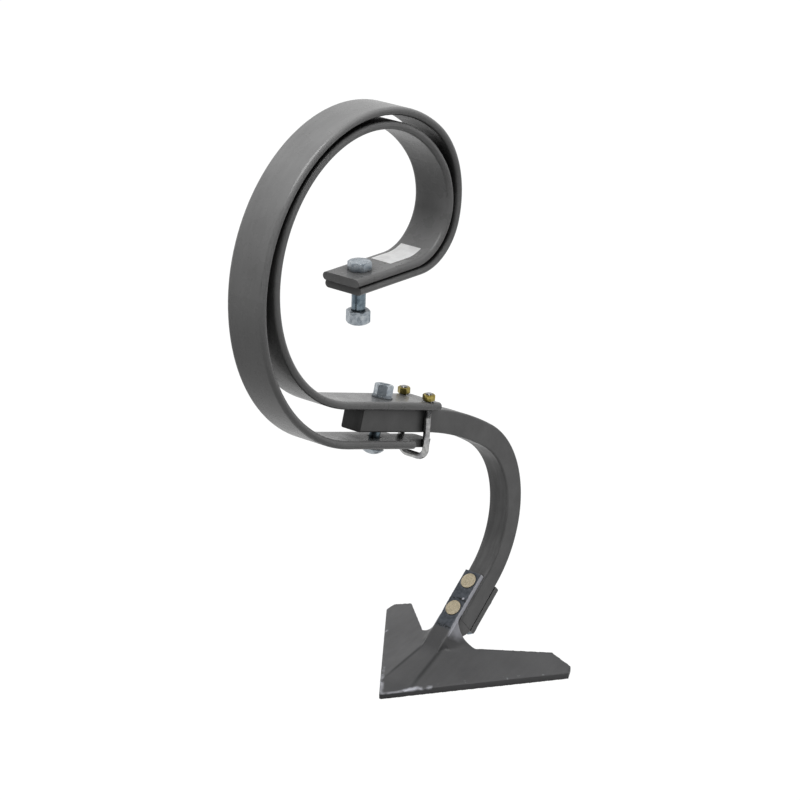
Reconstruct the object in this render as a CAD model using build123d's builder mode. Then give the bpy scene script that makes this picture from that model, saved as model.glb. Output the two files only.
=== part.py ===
# An S-tine: a heavy double-leaf spring tine for a field cultivator with a curved shank and a sweep.
# Millimetres, Z up, +X rearwards, Y across; the origin is the mounting bolt's axis on the underside.
import os
from math import cos, isclose, pi, radians, sin, sqrt, tan

from build123d import *

os.makedirs("parts", exist_ok=True)

# Clearances and fits
seat_gap = 0.3
bolt_clearance = 1.0
thread_clearance = 0.1
u_bolt_side_gap = 0.5
tongue_side_gap = 1.0

# Solids that only cut, or are cut off, run this far past the piece
overrun = 20.0

# Bolt ends are chamfered, and the corners of nuts and heads are cut at a slope, at top and base
bolt_end_chamfer = 1.5
turned_slope = tan(radians(30))

# Flat bar of both spring leaves; both start and end on lines that fall rearwards by a few degrees
leaf_width = 65.0
leaf_thickness = 12.0
mount_pitch = 2.8
end_pitch = 17.8

# Outer leaf: line and arcs from the mount up, over and back below the inner leaf
outer_ahead = 34.3
outer_first_straight = 135.5
outer_radii = (78.7, 137.7, 225.1, 253.2)
outer_turns = (76.0, 66.7, 124.7, 77.6)
outer_last_straight = 150.6

# Inner leaf: lies on the outer leaf at the mount and ends on top of the shank
inner_ahead = 39.9
inner_first_straight = 127.0
inner_radii = (75.5, 114.3, 192.2, 208.1)
inner_turns = (96.6, 29.2, 149.6, 69.6)
inner_last_straight = 215.4

# Tongue at the outer leaf's tail, between the legs of the U-bolt
tongue_length = 57.0
tongue_corner = 6.0

# Shank: square bar from between the leaves, curved down and forward to the foot
shank_size = 35.0
shank_edge_radius = 3.0
shank_ahead = 160.0
shank_straight = 157.3
shank_bend_radius = 548.0
shank_bend_turn = 16.4
shank_curve_radius = 149.0
foot_pitch = 40.2
foot_length = 83.0

# Clamp bolt M16 with a cup head and square neck, and its nut and washer
clamp_bolt_ahead = 102.0
clamp_bolt_diameter = 16.0
clamp_bolt_length = 94.0
clamp_head_diameter = 34.0
clamp_head_height = 8.8
clamp_head_rim = 1.0
clamp_neck_height = 9.0
clamp_nut_flats = 24.0
clamp_nut_height = 16.4
clamp_nut_cuts = (2.2, 1.2)
clamp_washer_diameter = 30.0
clamp_washer_thickness = 3.0
clamp_end_proud = 0.7

# U-bolt M10 round the shank and tongue, leaning back from square to the leaf
u_bolt_diameter = 10.0
u_bolt_spacing = shank_size + u_bolt_diameter + 2 * u_bolt_side_gap
u_bolt_ahead = 20.0
u_bolt_lean = 12.5
u_bolt_depth = 79.0
u_bolt_bend_radius = 14.0
u_bolt_hole = 13.6
u_bolt_end_proud = 1.5
u_nut_flats = 16.0
u_nut_height = 9.0
u_nut_cuts = (1.6, 0.8)

# Mounting bolt M20 with its locking nut hanging below the leaves
mount_bolt_diameter = 20.0
mount_bolt_length = 80.0
mount_head_flats = 30.0
mount_head_height = 12.5
mount_head_cuts = (2.6, 0.4)
mount_nut_drop = 34.0
mount_nut_height = 20.0
mount_nut_cuts = (2.0, 5.0)

# Sweep: one pressed plate with two wings and a stem; its lengths run rearwards from its tip
sweep_thickness = 9.0
sweep_tip_ahead = 183.6
sweep_drop = 58.4
sweep_edge_height = 10.0
sweep_half_angle = 37.3
wing_lift = 25.0
edge_length = 230.0
wing_end_step = 13.0
wing_end_y = 170.0
wing_back_step = 1.0
wing_back_y = 135.0
crotch_length = 164.0
crotch_y = 50.0
crotch_radius = 10.0
tip_radius = 3.0
flare_start = 119.0
flare_start_half_width = 16.5
flare_end_half_width = 40.0
flare_sink = 3.0
spine_flat_length = 29.0
spine_pitch = 18.0
spine_nose_height = 8.2
spine_bend_radius = 45.0
stem_width = 31.0
stem_start = 8.0

# Plow bolts M12 through stem, foot and backing plate
plow_bolt_diameter = 12.0
plow_head_diameter = 24.0
plow_head_rim = 1.0
plow_head_proud = 0.8
plow_first = 24.5
plow_spacing = 48.0
plow_end_proud = 1.0
plow_nut_flats = 18.0
plow_nut_height = 10.8
plow_nut_cuts = (1.8, 1.8)
plow_washer_diameter = 24.0
plow_washer_thickness = 2.0
backing_thickness = 10.5
backing_start = 4.0
backing_chamfer = 1.0

# Blank paper label on the inner leaf
label_width = 36.0
label_length = 68.0
label_thickness = 0.3
label_start = 51.0
label_middle_y = 4.0

outer_mid = leaf_thickness / 2
inner_mid = outer_mid + leaf_thickness + seat_gap

# The seat is the outer leaf's underside at the mounting bolt, x along the leaves and z square to them
seat = Plane(
    (0, 0, 0),
    x_dir=(cos(radians(mount_pitch)), 0, -sin(radians(mount_pitch))),
    z_dir=(sin(radians(mount_pitch)), 0, cos(radians(mount_pitch))),
)

# Outer leaf: path from the mount to its tail, section along it, then holes and tongue
outer_start = seat.from_local_coords((-outer_ahead, 0, outer_mid))
with BuildLine(Plane.XZ) as outer_path:
    run = PolarLine((outer_start.X, outer_start.Z), outer_first_straight, -mount_pitch)
    for radius, turn in zip(outer_radii, outer_turns):
        run = JernArc(run @ 1, run % 1, radius, turn)
    Line(run @ 1, run @ 1 + (run % 1) * (outer_last_straight + tongue_length))

# Inner leaf's path; its end carries the clamp's plane, x along the leaf and z square to it
inner_start = seat.from_local_coords((-inner_ahead, 0, inner_mid))
with BuildLine(Plane.XZ) as inner_path:
    run = PolarLine((inner_start.X, inner_start.Z), inner_first_straight, -mount_pitch)
    for radius, turn in zip(inner_radii, inner_turns):
        run = JernArc(run @ 1, run % 1, radius, turn)
    Line(run @ 1, run @ 1 + (run % 1) * inner_last_straight)

along = (cos(radians(end_pitch)), 0, -sin(radians(end_pitch)))
upward = (sin(radians(end_pitch)), 0, cos(radians(end_pitch)))
clamp = Plane(inner_path.line @ 1, x_dir=along, z_dir=upward)
tail = Plane(outer_path.line @ 1, x_dir=along, z_dir=upward)
tail_in_clamp = clamp.to_local_coords(tail.origin)
clamp_bolt_x = -clamp_bolt_ahead
tongue_width = u_bolt_spacing - u_bolt_diameter - 2 * tongue_side_gap

# The U-bolt's own plane stands where its legs cross the inner leaf, z up along the legs
lean = radians(u_bolt_lean)
u_plane = Plane(
    clamp.from_local_coords((-u_bolt_ahead, 0, 0)),
    x_dir=clamp.x_dir * cos(lean) + clamp.z_dir * sin(lean),
    z_dir=clamp.z_dir * cos(lean) - clamp.x_dir * sin(lean),
)

with BuildPart() as outer_leaf:
    with BuildSketch(Plane(outer_path.line @ 0, x_dir=(0, 1, 0), z_dir=outer_path.line % 0)):
        SlotOverall(leaf_width, leaf_thickness)
    sweep(path=outer_path.line)
    with BuildSketch(seat.offset(outer_mid)):
        Circle((mount_bolt_diameter + bolt_clearance) / 2)
    extrude(amount=leaf_thickness, both=True, mode=Mode.SUBTRACT)
    with BuildSketch(tail):
        with Locations((-tongue_length, 0)):
            Rectangle(tongue_length + overrun, leaf_width, align=(Align.MIN, Align.CENTER))
            RectangleRounded(2 * tongue_length, tongue_width, tongue_corner, mode=Mode.SUBTRACT)
        with Locations((clamp_bolt_x - tail_in_clamp.X, 0)):
            Rectangle(clamp_bolt_diameter + bolt_clearance, clamp_bolt_diameter + bolt_clearance)
    extrude(amount=leaf_thickness, both=True, mode=Mode.SUBTRACT)
outer_leaf.part.label = "outer_leaf"
export_step(outer_leaf.part, "parts/outer_leaf.step")

with BuildPart() as inner_leaf:
    with BuildSketch(Plane(inner_path.line @ 0, x_dir=(0, 1, 0), z_dir=inner_path.line % 0)):
        SlotOverall(leaf_width, leaf_thickness)
    sweep(path=inner_path.line)
    with BuildSketch(seat.offset(inner_mid)):
        Circle((mount_bolt_diameter + bolt_clearance) / 2)
    extrude(amount=leaf_thickness, both=True, mode=Mode.SUBTRACT)
    with BuildSketch(clamp):
        with Locations((clamp_bolt_x, 0)):
            Circle((clamp_bolt_diameter + bolt_clearance) / 2)
        with Locations((-u_bolt_ahead, -u_bolt_spacing / 2), (-u_bolt_ahead, u_bolt_spacing / 2)):
            Circle(u_bolt_hole / 2)
    extrude(amount=leaf_thickness, both=True, mode=Mode.SUBTRACT)
inner_leaf.part.label = "inner_leaf"
export_step(inner_leaf.part, "parts/inner_leaf.step")

# Shank: starts under the inner leaf, bends gently, then curves round to the foot
shank_depth = leaf_thickness / 2 + seat_gap + shank_size / 2
shank_start = clamp.from_local_coords((-shank_ahead, 0, -shank_depth))
shank_curve_turn = 180 - foot_pitch - end_pitch - shank_bend_turn
with BuildLine(Plane.XZ) as shank_path:
    lead = Line(
        (shank_start.X, shank_start.Z),
        (shank_start.X + shank_straight * along[0], shank_start.Z + shank_straight * along[2]),
    )
    bend = JernArc(lead @ 1, lead % 1, shank_bend_radius, -shank_bend_turn)
    curve = JernArc(bend @ 1, bend % 1, shank_curve_radius, -shank_curve_turn)
    Line(curve @ 1, curve @ 1 + (curve % 1) * foot_length)

# The foot's plane lies on the bar's middle at the end of the curve, x down it and z to the front
foot_x = (-cos(radians(foot_pitch)), 0, -sin(radians(foot_pitch)))
foot_z = (-sin(radians(foot_pitch)), 0, cos(radians(foot_pitch)))
foot_end = shank_path.line @ 1
foot = Plane(foot_end - Vector(*foot_x) * foot_length, x_dir=foot_x, z_dir=foot_z)
plow_spots = ((plow_first, 0), (plow_first + plow_spacing, 0))

with BuildPart() as shank:
    with BuildSketch(Plane(shank_path.line @ 0, x_dir=(0, 1, 0), z_dir=shank_path.line % 0)):
        RectangleRounded(shank_size, shank_size, shank_edge_radius)
    sweep(path=shank_path.line)
    with BuildSketch(clamp.offset(-shank_depth)):
        with Locations((clamp_bolt_x, 0)):
            Circle((clamp_bolt_diameter + bolt_clearance) / 2)
    extrude(amount=shank_size, both=True, mode=Mode.SUBTRACT)
    with BuildSketch(foot):
        with Locations(*plow_spots):
            Circle((plow_bolt_diameter + bolt_clearance) / 2)
    extrude(amount=shank_size, both=True, mode=Mode.SUBTRACT)
shank.part.label = "shank"
export_step(shank.part, "parts/shank.step")

# Backing plate behind the foot, under the plow nuts
backing_face = -shank_size / 2 - seat_gap
with BuildPart() as foot_backing_plate:
    with BuildSketch(foot.offset(backing_face)):
        with Locations((backing_start, 0)):
            Rectangle(foot_length - backing_start, shank_size, align=(Align.MIN, Align.CENTER))
        with Locations(*plow_spots):
            Circle((plow_bolt_diameter + bolt_clearance) / 2, mode=Mode.SUBTRACT)
    extrude(amount=-backing_thickness)
    chamfer(foot_backing_plate.edges().filter_by(Axis.Y), backing_chamfer)
foot_backing_plate.part.label = "foot_backing_plate"
export_step(foot_backing_plate.part, "parts/foot_backing_plate.step")

# Sweep: its tip, edge ends, wings and crotch are placed from the foot's end
sweep_tip_x = foot_end.X - sweep_tip_ahead
sweep_bottom_z = foot_end.Z - sweep_drop
edge_end_x = sweep_tip_x + edge_length
wing_end_x = edge_end_x + wing_end_step
wing_back_x = wing_end_x - wing_back_step
crotch_x = sweep_tip_x + crotch_length
spine_flat_end_x = sweep_tip_x + spine_flat_length

# Where the stem's front line meets the spine's line, seen from the side
stem_face = shank_size / 2 + seat_gap + sweep_thickness
stem_top = foot.from_local_coords((stem_start, 0, stem_face))
spine_nose_z = sweep_bottom_z + spine_nose_height
stem_rise = tan(radians(foot_pitch))
spine_rise = tan(radians(spine_pitch))
bend_x = (stem_top.Z - spine_nose_z + spine_flat_end_x * spine_rise - stem_top.X * stem_rise) / (
    spine_rise - stem_rise
)
bend_z = spine_nose_z + (bend_x - spine_flat_end_x) * spine_rise
spine = (
    (sweep_tip_x - overrun, spine_nose_z),
    (spine_flat_end_x, spine_nose_z),
    (bend_x, bend_z),
    (stem_top.X, stem_top.Z),
)
half = radians(sweep_half_angle)
lift = radians(wing_lift)
edge_end_y = edge_length * tan(half)
floor_z = sweep_bottom_z - overrun
edge_top_z = sweep_bottom_z + sweep_edge_height

# Two solids, below the sweep's upper side and below its lower side; the plate is what lies between
pitches_before = (0, 0, spine_pitch, foot_pitch)
pitches_after = (0, spine_pitch, foot_pitch, foot_pitch)
flare_sections = (
    (sweep_tip_x + flare_start, flare_start_half_width),
    (crotch_x + overrun, flare_end_half_width),
)
skins = []
strips = []
for depth in (0, sweep_thickness):
    line = []
    for point, before, after in zip(spine, pitches_before, pitches_after):
        middle = radians((before + after) / 2)
        reach = depth / cos(radians((after - before) / 2))
        line.append((point[0] + reach * sin(middle), point[1] - reach * cos(middle)))
    strips.append(line)
    beyond_x = wing_end_x + overrun
    beyond = (beyond_x, line[-1][1] + (beyond_x - line[-1][0]) * stem_rise)
    with BuildPart() as skin:
        with BuildSketch(Plane.XZ):
            with BuildLine():
                FilletPolyline(*line[:-1], beyond, radius=spine_bend_radius + depth)
                Polyline(beyond, (beyond[0], floor_z), (line[0][0], floor_z), line[0])
            make_face()
        extrude(amount=2 * wing_end_y, both=True)
        for side in (-1, 1):
            wing = Plane(
                (sweep_tip_x, 0, edge_top_z),
                x_dir=(cos(half), side * sin(half), 0),
                z_dir=(-sin(half) * sin(lift), side * cos(half) * sin(lift), cos(lift)),
            )
            split(bisect_by=wing.offset(-depth), keep=Keep.BOTTOM)
        # Flare: below the stem's side slopes, where the wings sweep up into the stem
        shrink = depth / 2
        for x, half_width in flare_sections:
            rise = (stem_top.Z - (stem_top.X - x) * stem_rise) - depth / cos(radians(foot_pitch))
            wing_z = edge_top_z + tan(lift) * ((x - sweep_tip_x) * sin(half) - half_width * cos(half))
            wing_z = wing_z - depth / cos(lift) - flare_sink
            with BuildSketch(Plane.YZ.offset(x)):
                with BuildLine():
                    Polyline(
                        (-half_width, floor_z),
                        (-half_width, wing_z),
                        (shrink - stem_width / 2, rise),
                        (stem_width / 2 - shrink, rise),
                        (half_width, wing_z),
                        (half_width, floor_z),
                        close=True,
                    )
                make_face()
        loft(ruled=True)
    skins.append(skin.part)

with BuildPart() as sweep_plate:
    with BuildSketch(Plane.XY.offset(sweep_bottom_z)):
        with BuildLine():
            Polyline(
                (sweep_tip_x, 0),
                (edge_end_x, edge_end_y),
                (wing_end_x, wing_end_y),
                (wing_back_x, wing_back_y),
                (crotch_x, crotch_y),
                (crotch_x, 0),
                close=True,
            )
        make_face()
        mirror(about=Plane.XZ)
        fillet([v for v in vertices() if isclose(abs(v.Y), crotch_y)], crotch_radius)
        fillet(vertices().sort_by(Axis.X)[0], tip_radius)
    extrude(amount=stem_top.Z - sweep_bottom_z)
    add(skins[0], mode=Mode.INTERSECT)
    add(skins[1], mode=Mode.SUBTRACT)
    with BuildSketch(Plane.XZ):
        with BuildLine():
            upper = FilletPolyline(*strips[0][1:], radius=spine_bend_radius)
            lower = FilletPolyline(*strips[1][1:], radius=spine_bend_radius + sweep_thickness)
            Line(upper @ 0, lower @ 0)
            Line(upper @ 1, lower @ 1)
        make_face()
    extrude(amount=stem_width / 2, both=True)
    with Locations(Location(foot.offset(stem_face))):
        with Locations(*plow_spots):
            CounterSinkHole(
                (plow_bolt_diameter + bolt_clearance) / 2,
                (plow_head_diameter + bolt_clearance) / 2,
                depth=sweep_thickness + shank_size,
            )
sweep_plate.part.label = "sweep"
export_step(sweep_plate.part, "parts/sweep.step")


def hexagon(flats, height, cuts):
    # Hexagon prism standing on the origin, its corners turned off at top and base
    corner = flats / sqrt(3)
    top_cut, base_cut = cuts
    with BuildPart() as prism:
        with BuildSketch():
            RegularPolygon(flats / 2, 6, major_radius=False)
        extrude(amount=height)
        with BuildSketch(Plane.XZ):
            with BuildLine():
                Polyline(
                    (0, 0),
                    (corner - base_cut, 0),
                    (corner, base_cut * turned_slope),
                    (corner, height - top_cut * turned_slope),
                    (corner - top_cut, height),
                    (0, height),
                    close=True,
                )
            make_face()
        revolve(axis=Axis.Z, mode=Mode.INTERSECT)
    return prism.part


# Mounting bolt through both leaves, its head on top, and the locking nut at its end, collar down
with BuildPart() as hex_bolt:
    add(hexagon(mount_head_flats, mount_head_height, mount_head_cuts))
    Cylinder(mount_bolt_diameter / 2, mount_bolt_length, align=(Align.CENTER, Align.CENTER, Align.MAX))
    chamfer(hex_bolt.faces().sort_by(Axis.Z)[0].edges(), bolt_end_chamfer)
with BuildPart() as mount_bolt:
    with Locations(Location(seat.offset(inner_mid + leaf_thickness / 2 + seat_gap))):
        add(hex_bolt.part)
mount_bolt.part.label = "mount_bolt"
export_step(mount_bolt.part, "parts/mount_bolt.step")

with BuildPart() as m20_nut:
    add(hexagon(mount_head_flats, mount_nut_height, mount_nut_cuts))
    Hole(mount_bolt_diameter / 2 + thread_clearance)
with BuildPart() as mount_locknut:
    with Locations(Location(seat.offset(-mount_nut_drop - mount_nut_height))):
        add(m20_nut.part)
mount_locknut.part.label = "mount_locknut"
export_step(mount_locknut.part, "parts/mount_locknut.step")

# Clamp bolt from below through tongue, shank and inner leaf, its washer and nut on top
clamp_axis = clamp.offset(0)
clamp_axis.origin = clamp.from_local_coords((clamp_bolt_x, 0, 0))
washer_base = leaf_thickness / 2 + seat_gap
nut_base = washer_base + clamp_washer_thickness
clamp_bolt_top = nut_base + clamp_nut_height + clamp_end_proud
head_base = clamp_bolt_top - clamp_bolt_length
with BuildPart() as clamp_bolt:
    with BuildSketch(Plane(clamp_axis.origin, x_dir=clamp.x_dir, z_dir=-clamp.y_dir)):
        with BuildLine():
            dome = TangentArc(
                (0, head_base - clamp_head_height),
                (clamp_head_diameter / 2, head_base - clamp_head_rim),
                tangent=(1, 0),
            )
            Polyline(
                dome @ 1,
                (clamp_head_diameter / 2, head_base),
                (clamp_bolt_diameter / 2, head_base),
                (clamp_bolt_diameter / 2, clamp_bolt_top - bolt_end_chamfer),
                (clamp_bolt_diameter / 2 - bolt_end_chamfer, clamp_bolt_top),
                (0, clamp_bolt_top),
                dome @ 0,
            )
        make_face()
    revolve(axis=Axis(clamp_axis.origin, clamp.z_dir))
    with BuildSketch(clamp_axis.offset(head_base)):
        Rectangle(clamp_bolt_diameter, clamp_bolt_diameter)
    extrude(amount=clamp_neck_height)
clamp_bolt.part.label = "clamp_bolt"
export_step(clamp_bolt.part, "parts/clamp_bolt.step")

with BuildPart() as clamp_washer:
    with BuildSketch(clamp_axis.offset(washer_base)):
        Circle(clamp_washer_diameter / 2)
        Circle((clamp_bolt_diameter + bolt_clearance) / 2, mode=Mode.SUBTRACT)
    extrude(amount=clamp_washer_thickness)
clamp_washer.part.label = "clamp_washer"
export_step(clamp_washer.part, "parts/clamp_washer.step")

with BuildPart() as m16_nut:
    add(hexagon(clamp_nut_flats, clamp_nut_height, clamp_nut_cuts))
    Hole(clamp_bolt_diameter / 2 + thread_clearance)
with BuildPart() as clamp_nut:
    with Locations(Location(clamp_axis.offset(nut_base))):
        add(m16_nut.part)
clamp_nut.part.label = "clamp_nut"
export_step(clamp_nut.part, "parts/clamp_nut.step")

# U-bolt: square bend below the tongue, both legs up through the inner leaf
u_nut_base = (leaf_thickness / 2 + u_nut_flats / sqrt(3) * sin(lean)) / cos(lean) + seat_gap
u_top = u_nut_base + u_nut_height + u_bolt_end_proud
with BuildPart() as u_bolt:
    with BuildLine(Plane(u_plane.origin, x_dir=u_plane.y_dir, z_dir=u_plane.x_dir)) as u_path:
        FilletPolyline(
            (-u_bolt_spacing / 2, u_top),
            (-u_bolt_spacing / 2, -u_bolt_depth),
            (u_bolt_spacing / 2, -u_bolt_depth),
            (u_bolt_spacing / 2, u_top),
            radius=u_bolt_bend_radius,
        )
    with BuildSketch(Plane(u_path.line @ 0, z_dir=u_path.line % 0)):
        Circle(u_bolt_diameter / 2)
    sweep(path=u_path.line)
u_bolt.part.label = "u_bolt"
export_step(u_bolt.part, "parts/u_bolt.step")

with BuildPart() as m10_nut:
    add(hexagon(u_nut_flats, u_nut_height, u_nut_cuts))
    Hole(u_bolt_diameter / 2 + thread_clearance)
for name, side in (("near", -1), ("far", 1)):
    with BuildPart() as u_nut:
        with Locations(Location(u_plane.offset(u_nut_base))):
            with Locations((0, side * u_bolt_spacing / 2, 0)):
                add(m10_nut.part)
    u_nut.part.label = f"u_bolt_nut_{name}"
    export_step(u_nut.part, f"parts/u_bolt_nut_{name}.step")

# Plow bolts from the stem's face through foot and backing plate, washers and nuts behind
backing_back = backing_face - backing_thickness
plow_washer_base = backing_back - seat_gap
plow_nut_base = plow_washer_base - plow_washer_thickness
plow_head_top = stem_face + plow_head_proud
plow_end = plow_nut_base - plow_nut_height - plow_end_proud
with BuildPart() as flat_bolt:
    with BuildSketch(Plane.XZ):
        with BuildLine():
            cone_top = plow_head_top - plow_head_rim
            Polyline(
                (0, plow_head_top),
                (plow_head_diameter / 2, plow_head_top),
                (plow_head_diameter / 2, cone_top),
                (plow_bolt_diameter / 2, cone_top - (plow_head_diameter - plow_bolt_diameter) / 2),
                (plow_bolt_diameter / 2, plow_end + bolt_end_chamfer),
                (plow_bolt_diameter / 2 - bolt_end_chamfer, plow_end),
                (0, plow_end),
                close=True,
            )
        make_face()
    revolve(axis=Axis.Z)
with BuildPart() as m12_nut:
    add(hexagon(plow_nut_flats, plow_nut_height, plow_nut_cuts))
    Hole(plow_bolt_diameter / 2 + thread_clearance)
for name, spot in zip(("upper", "lower"), plow_spots):
    place = Location(Plane(foot.from_local_coords((spot[0], 0, 0)), x_dir=foot.x_dir, z_dir=foot.z_dir))
    with BuildPart() as plow_bolt:
        with Locations(place):
            add(flat_bolt.part)
    plow_bolt.part.label = f"plow_bolt_{name}"
    export_step(plow_bolt.part, f"parts/plow_bolt_{name}.step")
    with BuildPart() as plow_washer:
        with Locations(place):
            with Locations((0, 0, plow_nut_base)):
                Cylinder(
                    plow_washer_diameter / 2,
                    plow_washer_thickness,
                    align=(Align.CENTER, Align.CENTER, Align.MIN),
                )
                Cylinder(
                    (plow_bolt_diameter + bolt_clearance) / 2,
                    2 * overrun,
                    mode=Mode.SUBTRACT,
                )
    plow_washer.part.label = f"plow_washer_{name}"
    export_step(plow_washer.part, f"parts/plow_washer_{name}.step")
    with BuildPart() as plow_nut:
        with Locations(place):
            with Locations((0, 0, plow_nut_base - plow_nut_height)):
                add(m12_nut.part)
    plow_nut.part.label = f"plow_nut_{name}"
    export_step(plow_nut.part, f"parts/plow_nut_{name}.step")

# Blank label, laid on the inner leaf's upper side where the leaf starts to bend
label_lift = inner_mid + leaf_thickness / 2 + label_thickness / 2
label_flat = inner_first_straight - inner_ahead - label_start
label_radius = inner_radii[0] - leaf_thickness / 2 - label_thickness / 2
label_bent = (label_length - label_flat) / label_radius * 180 / pi
label_origin = seat.from_local_coords((label_start, 0, label_lift))
with BuildPart() as label:
    with BuildLine(Plane.XZ) as label_path:
        flat = PolarLine((label_origin.X, label_origin.Z), label_flat, -mount_pitch)
        JernArc(flat @ 1, flat % 1, label_radius, label_bent)
    with BuildSketch(Plane(label_path.line @ 0, x_dir=(0, 1, 0), z_dir=label_path.line % 0)):
        with Locations((label_middle_y, 0)):
            Rectangle(label_width, label_thickness)
    sweep(path=label_path.line)
label.part.label = "label"
export_step(label.part, "parts/label.step")
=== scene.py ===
import math
from functools import partial

import bmesh
import bpy
from mathutils import Matrix, Vector


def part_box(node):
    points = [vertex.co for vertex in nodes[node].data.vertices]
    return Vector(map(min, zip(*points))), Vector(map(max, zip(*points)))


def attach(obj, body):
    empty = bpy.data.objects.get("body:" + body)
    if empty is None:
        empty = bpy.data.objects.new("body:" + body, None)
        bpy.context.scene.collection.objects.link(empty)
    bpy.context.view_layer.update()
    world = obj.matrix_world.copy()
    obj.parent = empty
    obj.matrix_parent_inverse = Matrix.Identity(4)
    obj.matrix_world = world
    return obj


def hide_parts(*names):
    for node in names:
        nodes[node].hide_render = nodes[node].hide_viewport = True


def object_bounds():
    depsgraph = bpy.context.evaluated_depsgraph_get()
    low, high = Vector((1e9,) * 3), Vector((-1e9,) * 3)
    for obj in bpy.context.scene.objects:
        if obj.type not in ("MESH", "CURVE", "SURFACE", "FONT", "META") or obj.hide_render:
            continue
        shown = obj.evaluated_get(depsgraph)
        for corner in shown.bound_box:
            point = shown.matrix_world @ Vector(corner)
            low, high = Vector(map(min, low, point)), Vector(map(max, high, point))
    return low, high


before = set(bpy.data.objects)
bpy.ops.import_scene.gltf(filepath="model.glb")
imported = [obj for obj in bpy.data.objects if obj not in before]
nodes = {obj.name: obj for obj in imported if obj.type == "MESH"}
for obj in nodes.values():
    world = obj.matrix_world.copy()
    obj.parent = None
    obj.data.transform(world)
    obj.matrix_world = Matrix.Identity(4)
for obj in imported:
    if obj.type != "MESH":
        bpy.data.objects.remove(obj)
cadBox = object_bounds()
print("frame loaded:", len(nodes), "solids")

sharpAngle = math.radians(32)  # an edge that turns more than this stays crisp
softSamples = 6  # rays for each rounded edge and each gap


def linear(code):
    # sRGB hex to the linear colour that Blender's sockets take
    parts = [int(code[i:i + 2], 16) / 255 for i in (1, 3, 5)]
    return tuple(p / 12.92 if p <= 0.04045 else ((p + 0.055) / 1.055) ** 2.4 for p in parts) + (1.0,)


def mm(size):
    return size / 1000


def perMm(size):
    # noise scale whose features are about this many millimetres across
    return 1000 / size


def addNode(tree, kind, links=None, out=0, **settings):
    # links: socket -> a value or another node's output; gives back one output, or the node when out is None
    node = tree.nodes.new(kind)
    for name, value in settings.items():
        setattr(node, name, value)
    for socket, value in (links or {}).items():
        if isinstance(value, bpy.types.NodeSocket):
            tree.links.new(value, node.inputs[socket])
        else:
            node.inputs[socket].default_value = value
    return node if out is None else node.outputs[out]


def emptyTree(owner):
    # the node tree of a material or a world, without the nodes that it starts with
    owner.use_nodes = True
    owner.node_tree.nodes.clear()
    return owner.node_tree


def direction(pitch):
    # up, leaned back by a pitch in degrees, in the tine's middle plane
    return Vector((math.sin(math.radians(pitch)), 0, math.cos(math.radians(pitch))))


def newPiece(name, mesh):
    piece = bpy.data.objects.new(name, mesh)
    bpy.context.scene.collection.objects.link(piece)
    return piece


def mergedCopy(nodeName):
    # a CAD node's mesh is loose triangles, so a copy of it is merged before any work on it
    shape = bmesh.new()
    shape.from_mesh(nodes[nodeName].data)
    bmesh.ops.remove_doubles(shape, verts=shape.verts, dist=mm(0.005))
    return shape


def meshFrom(shape, name):
    mesh = bpy.data.meshes.new(name)
    shape.to_mesh(mesh)
    shape.free()
    return mesh


def applyModifiers(piece):
    made = piece.evaluated_get(bpy.context.evaluated_depsgraph_get())
    piece.data = bpy.data.meshes.new_from_object(made)
    piece.modifiers.clear()


# the lines that the bolts stand on, as the drawing gives them, in degrees back from upright
leanings = dict(seat=2.8, clamp=17.8, uBolt=5.3, foot=-40.2)

# a rolled thread: facets round the rod, rings in a turn, depth as a share of the pitch, and how far down
# its flank, in half pitches, the flat crest ends and the flat root starts
ridgeShape = dict(sides=36, ringsPerTurn=6, depthShare=0.6, crest=0.06, root=0.42)


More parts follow.
